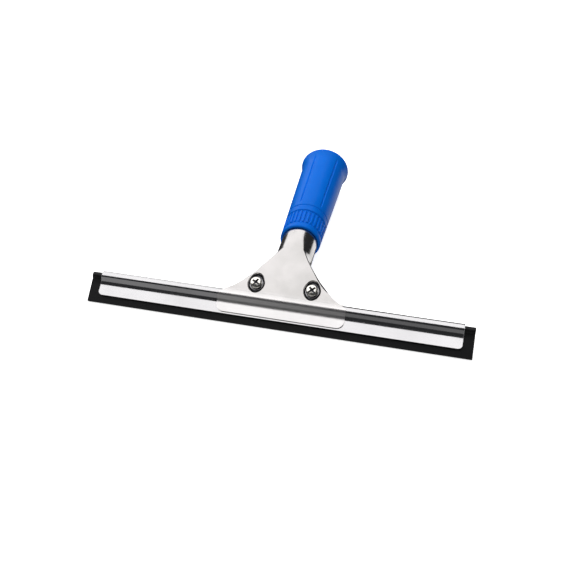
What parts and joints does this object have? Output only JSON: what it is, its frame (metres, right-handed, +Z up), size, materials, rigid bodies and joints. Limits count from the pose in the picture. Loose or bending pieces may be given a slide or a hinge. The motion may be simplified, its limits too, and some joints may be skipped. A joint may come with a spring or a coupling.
{
  "type": "window cleaning squeegee",
  "caption": "Hand squeegee for window cleaning: rubber blade in a steel channel, clamped by a stamped steel yoke on a blue moulded grip with a pole socket.",
  "frame": {"origin": "middle of the bounding box, at the level of the surface that the tool lies on", "axes": "+X along the blade, +Y along the handle from the blade to the end of the grip, +Z up from the surface, with the tool lying face up"},
  "size_m": [0.255, 0.1664, 0.0368],
  "materials": {
    "rubber": "matt black, smooth sides",
    "channel_steel": "bright rolled stainless steel",
    "bracket_steel": "bright pressed stainless steel with a fine satin grain",
    "grip_plastic": "glossy moulded blue",
    "fasteners": "nickel plated"
  },
  "bodies": {
    "handle": {"front_bracket": "bracket_steel", "rear_jaw": "bracket_steel", "grip": "grip_plastic", "left_nut": "fasteners", "right_nut": "fasteners"},
    "channel": {"blade_channel": "channel_steel"},
    "rubber": {"rubber_blade": "rubber"},
    "left_washers": {"left_spring_washer": "fasteners", "left_flat_washer": "fasteners"},
    "left_screw": {"left_screw": "fasteners"},
    "right_washers": {"right_spring_washer": "fasteners", "right_flat_washer": "fasteners"},
    "right_screw": {"right_screw": "fasteners"}
  },
  "joints": [
    {"name": "channel_slide", "type": "slide", "parent": "handle", "child": "channel", "axis": [1, 0, 0], "range_m": [-0.074, 0.08]},
    {"name": "rubber_slide", "type": "slide", "parent": "channel", "child": "rubber", "axis": [1, 0, 0], "range_m": [-0.24, 0.24]},
    {"name": "left_screw_travel", "type": "slide", "parent": "handle", "child": "left_washers", "axis": [0, -0.4602, 0.8878], "range_m": [0, 0.0021]},
    {"name": "left_screw_turn", "type": "hinge", "parent": "left_washers", "child": "left_screw", "pos_m": [-0.0151, -0.06167, 0.01978], "axis": [0, -0.4602, 0.8878], "range_deg": [0, 1081]},
    {"name": "right_screw_travel", "type": "slide", "parent": "handle", "child": "right_washers", "axis": [0, -0.4602, 0.8878], "range_m": [0, 0.0021]},
    {"name": "right_screw_turn", "type": "hinge", "parent": "right_washers", "child": "right_screw", "pos_m": [0.0221, -0.06167, 0.01978], "axis": [0, -0.4602, 0.8878], "range_deg": [0, 1081]}
  ],
  "couplings": [
    {"joint": "left_screw_turn", "follows": "left_screw_travel", "rad_per_m": 8976},
    {"joint": "right_screw_turn", "follows": "right_screw_travel", "rad_per_m": 8976}
  ]
}
